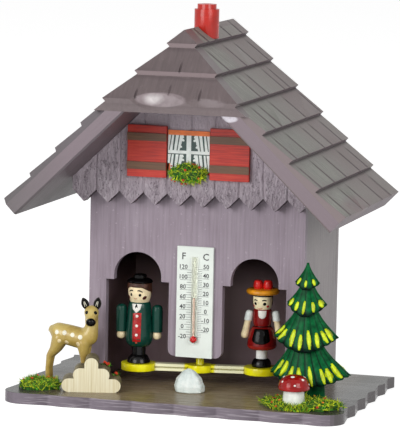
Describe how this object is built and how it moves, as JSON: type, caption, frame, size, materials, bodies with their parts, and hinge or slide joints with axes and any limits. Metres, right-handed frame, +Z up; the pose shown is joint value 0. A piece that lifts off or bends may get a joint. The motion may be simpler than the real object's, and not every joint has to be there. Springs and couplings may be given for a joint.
{
  "type": "weather house",
  "caption": "Painted timber weather house with shingled roof, arched doorways, turned figures on a swinging arm hung from the chimney, and a thermometer between the doors.",
  "frame": {"origin": "foot of the gut string's vertical axis, on the underside of the base", "axes": "+Z up, -Y out of the doorways towards the viewer, +X to the viewer's right"},
  "size_m": [0.157, 0.106, 0.1786],
  "materials": {
    "grey_painted_wood": "satin paint",
    "red_turned_wood": "gloss paint",
    "bare_wood": "bare",
    "gut": "dried gut",
    "yellow_plastic": "gloss",
    "man_paint": "gloss paint",
    "black_paint": "gloss paint",
    "woman_paint": "gloss paint",
    "sleeve_paint": "gloss paint",
    "straw_paint": "gloss paint",
    "pompom_paint": "satin paint",
    "scale_print": "satin",
    "tube_glass": "clear",
    "red_liquid": "liquid",
    "shutter_paint": "satin paint",
    "batten_paint": "satin paint",
    "window_print": "printed",
    "flower_flock": "flock",
    "deer_paint": "gloss",
    "rock_wood": "bare",
    "moss_flock": "flock",
    "fir_paint": "satin",
    "toadstool_white": "gloss",
    "toadstool_red": "gloss",
    "quartz": "crystalline"
  },
  "bodies": {
    "house": {"base_plate": "grey_painted_wood", "front_wall": "grey_painted_wood", "left_wall": "grey_painted_wood", "right_wall": "grey_painted_wood", "back_board": "grey_painted_wood", "gable_board": "grey_painted_wood", "roof_left": "grey_painted_wood", "roof_right": "grey_painted_wood", "front_hip": "grey_painted_wood", "thermometer_plate": "scale_print", "thermometer_tube": "tube_glass", "thermometer_liquid": "red_liquid", "left_shutter": "shutter_paint", "right_shutter": "shutter_paint", "shutter_battens": "batten_paint", "window_card": "window_print", "window_flowers": "flower_flock", "deer": "deer_paint", "rock_cutout": "rock_wood", "rock_flowers": "flower_flock", "left_grass": "moss_flock", "fir_tree": "fir_paint", "mushroom_stem": "toadstool_white", "mushroom_cap": "toadstool_red", "right_grass": "moss_flock", "pebble": "quartz"},
    "chimney": {"chimney": "red_turned_wood", "chimney_stem": "bare_wood"},
    "arm": {"gut_string": "gut", "swing_arm": "yellow_plastic", "man_body": "man_paint", "man_left_arm": "man_paint", "man_right_arm": "man_paint", "man_hat": "black_paint", "woman_body": "woman_paint", "woman_left_arm": "sleeve_paint", "woman_right_arm": "sleeve_paint", "woman_hat": "straw_paint", "hat_pompoms": "pompom_paint"}
  },
  "joints": [
    {"name": "chimney_turn", "type": "hinge", "parent": "house", "child": "chimney", "pos_m": [0, 0, 0.1632], "axis": [0, 0, 1], "range_deg": [-10, 10]},
    {"name": "figure_swing", "type": "hinge", "parent": "chimney", "child": "arm", "pos_m": [0, 0, 0.0128], "axis": [0, 0, 1], "range_deg": [-40.4, 19.6]}
  ]
}
